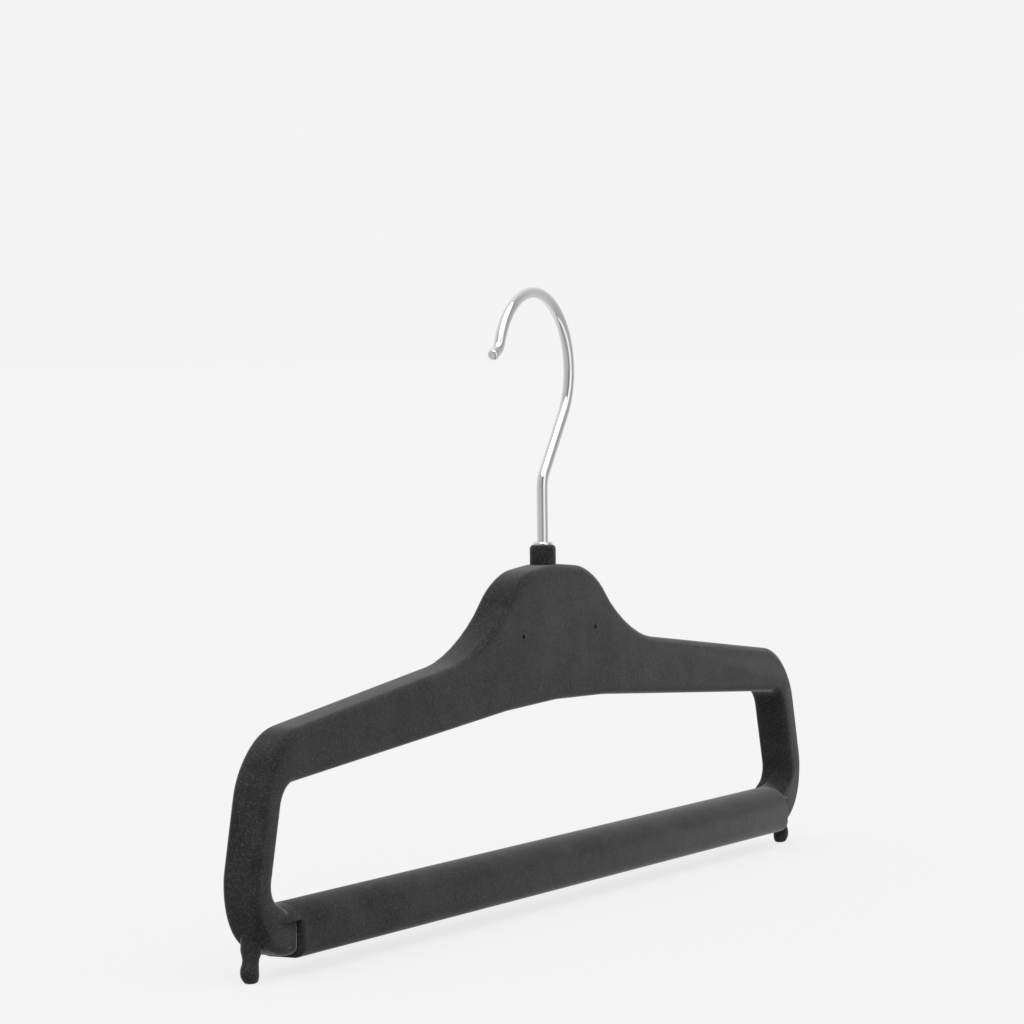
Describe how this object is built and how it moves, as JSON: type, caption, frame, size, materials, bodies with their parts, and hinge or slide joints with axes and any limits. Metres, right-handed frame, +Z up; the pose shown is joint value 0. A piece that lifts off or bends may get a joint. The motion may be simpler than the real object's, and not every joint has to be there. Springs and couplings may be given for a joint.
{
  "type": "clothes hanger",
  "caption": "Dark grey flocked trouser hanger with a thick cross bar and a chrome hook that turns.",
  "frame": {"origin": "the point inside the hook that rests on the rail, straight above the middle of the hanger", "axes": "+X along the cross bar, to the right as seen from the front; +Y to the rear; +Z up"},
  "size_m": [0.4328, 0.018, 0.2243],
  "materials": {
    "hook": "bright chrome plate",
    "hook_bush": "bright chrome plate",
    "thrust_washer": "zinc plate",
    "push_nut": "zinc plate",
    "frame_front": "dark grey flock",
    "frame_rear": "dark grey flock",
    "bar_tube": "dark grey flock",
    "bar_plug_left": "matt black",
    "bar_plug_right": "matt black"
  },
  "bodies": {
    "hook_set": {"hook": "hook", "thrust_washer": "thrust_washer", "push_nut": "push_nut"},
    "hanger_frame": {"frame_front": "frame_front", "frame_rear": "frame_rear", "hook_bush": "hook_bush", "bar_tube": "bar_tube", "bar_plug_left": "bar_plug_left", "bar_plug_right": "bar_plug_right"}
  },
  "joints": [
    {"name": "hook_swivel", "type": "hinge", "parent": "hook_set", "child": "hanger_frame", "pos_m": [0, 0, -0.1069], "axis": [0, 0, 1], "continuous": true}
  ]
}
